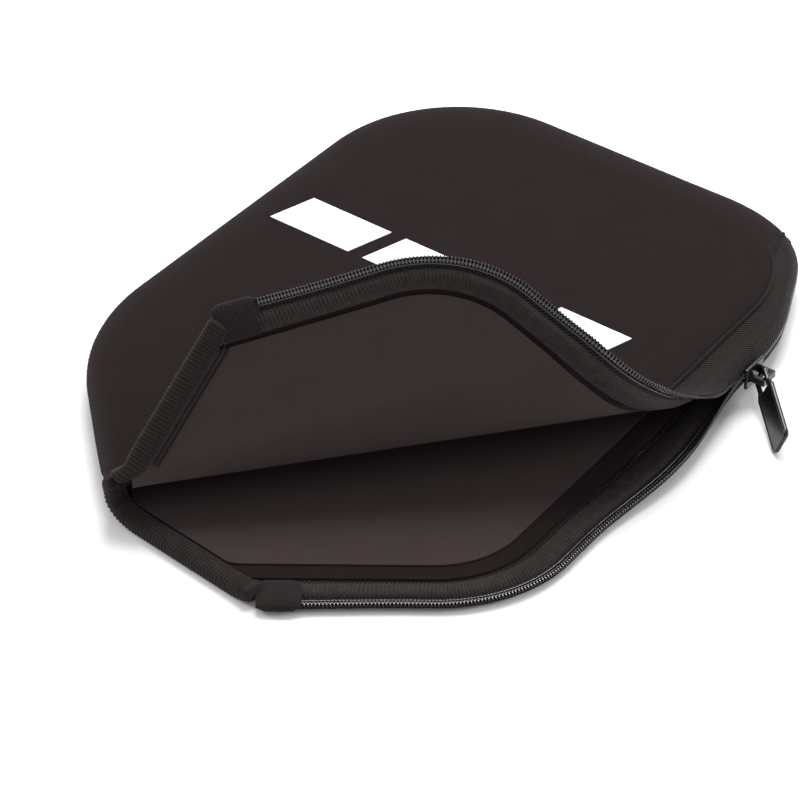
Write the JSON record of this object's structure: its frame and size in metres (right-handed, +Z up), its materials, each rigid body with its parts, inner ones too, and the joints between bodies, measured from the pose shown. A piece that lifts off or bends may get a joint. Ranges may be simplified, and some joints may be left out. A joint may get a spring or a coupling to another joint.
{
  "type": "zipped paddle cover",
  "caption": "Zipped neoprene cover for the head of a racket-sport paddle, with its front flap peeled open from the throat corner.",
  "frame": {"origin": "on the resting face, under the paddle's axis, at mid-length of the head", "axes": "+Y towards the closed top of the case, +X towards the zip, +Z up through the front panel"},
  "size_m": [0.2465, 0.2948, 0.0902],
  "materials": {
    "neoprene_knit": "matte knitted jersey over neoprene foam",
    "lining_knit": "matte fine knit",
    "binding_tape": "woven binding tape",
    "overlock_thread": "ribbed overlock stitching",
    "zip_tape": "herringbone zip tape",
    "zip_coil": "glossy nylon coil",
    "slider_metal": "glossy black enamel",
    "puller_metal": "glossy black enamel",
    "print": "flat white transfer print"
  },
  "bodies": {
    "case": {"back_panel": "neoprene_knit", "back_throat_binding": "binding_tape", "back_lining": "lining_knit", "back_edge_overlock": "overlock_thread", "back_zip_tape": "zip_tape", "back_corner_tab": "binding_tape", "back_zip_coil": "zip_coil", "closed_seam_tape": "binding_tape", "front_panel": "neoprene_knit", "front_lining": "lining_knit", "front_edge_overlock": "overlock_thread", "front_zip_tape": "zip_tape", "front_zip_coil": "zip_coil", "front_piping": "binding_tape", "printed_mark": "print", "zip_top_stop": "zip_coil"},
    "fold_1": {"fold_panel_1": "neoprene_knit", "fold_lining_1": "lining_knit", "fold_overlock_1": "overlock_thread", "fold_zip_tape_1": "zip_tape", "fold_zip_coil_1": "zip_coil"},
    "fold_2": {"fold_panel_2": "neoprene_knit", "fold_lining_2": "lining_knit", "fold_overlock_2": "overlock_thread", "fold_zip_tape_2": "zip_tape", "fold_zip_coil_2": "zip_coil"},
    "fold_3": {"fold_panel_3": "neoprene_knit", "fold_lining_3": "lining_knit", "fold_overlock_3": "overlock_thread", "fold_zip_tape_3": "zip_tape", "fold_zip_coil_3": "zip_coil"},
    "fold_4": {"fold_panel_4": "neoprene_knit", "fold_lining_4": "lining_knit", "fold_overlock_4": "overlock_thread", "fold_zip_tape_4": "zip_tape", "fold_zip_coil_4": "zip_coil"},
    "flap": {"flap_panel": "neoprene_knit", "flap_lining": "lining_knit", "flap_hem_binding": "binding_tape", "flap_edge_overlock": "overlock_thread", "flap_zip_tape": "zip_tape", "flap_corner_tab": "binding_tape", "flap_zip_coil": "zip_coil", "flap_piping": "binding_tape"},
    "slider": {"slider_outer_plate": "slider_metal", "slider_inner_plate": "slider_metal", "slider_bridge": "slider_metal"},
    "puller": {"puller": "puller_metal"}
  },
  "joints": [
    {"name": "flap_fold_1", "type": "hinge", "parent": "case", "child": "fold_1", "pos_m": [-0.029, -0.1394, 0.02], "axis": [0.6018, 0.7986, 0], "range_deg": [0, 18]},
    {"name": "flap_fold_2", "type": "hinge", "parent": "fold_1", "child": "fold_2", "pos_m": [-0.029, -0.1394, 0.02], "axis": [0.6546, 0.7557, 0.0221], "range_deg": [0, 33]},
    {"name": "flap_fold_3", "type": "hinge", "parent": "fold_2", "child": "fold_3", "pos_m": [-0.029, -0.1394, 0.02], "axis": [0.6847, 0.725, 0.0749], "range_deg": [0, 36]},
    {"name": "flap_fold_4", "type": "hinge", "parent": "fold_3", "child": "fold_4", "pos_m": [-0.029, -0.1394, 0.02], "axis": [0.682, 0.7163, 0.1476], "range_deg": [0, 26]},
    {"name": "flap_fold_5", "type": "hinge", "parent": "fold_4", "child": "flap", "pos_m": [-0.029, -0.1394, 0.02], "axis": [0.6513, 0.7271, 0.2171], "range_deg": [0, 12]},
    {"name": "zip_slide", "type": "slide", "parent": "case", "child": "slider", "axis": [0.0344, -0.9994, 0], "range_m": [0, 0.12], "deforming": ["fold_zip_coil_1"]},
    {"name": "puller_swing", "type": "hinge", "parent": "slider", "child": "puller", "pos_m": [0.1148, 0.06117, 0.01], "axis": [0.32, 0.14, 0.937], "range_deg": [-30, 75]}
  ],
  "couplings": [
    {"joint": "flap_fold_2", "follows": "flap_fold_1", "ratio": 1.8333},
    {"joint": "flap_fold_3", "follows": "flap_fold_1", "ratio": 2},
    {"joint": "flap_fold_4", "follows": "flap_fold_1", "ratio": 1.4444},
    {"joint": "flap_fold_5", "follows": "flap_fold_1", "ratio": 0.66667},
    {"joint": "zip_slide", "follows": "flap_fold_1", "m_per_rad": 0.38196}
  ]
}
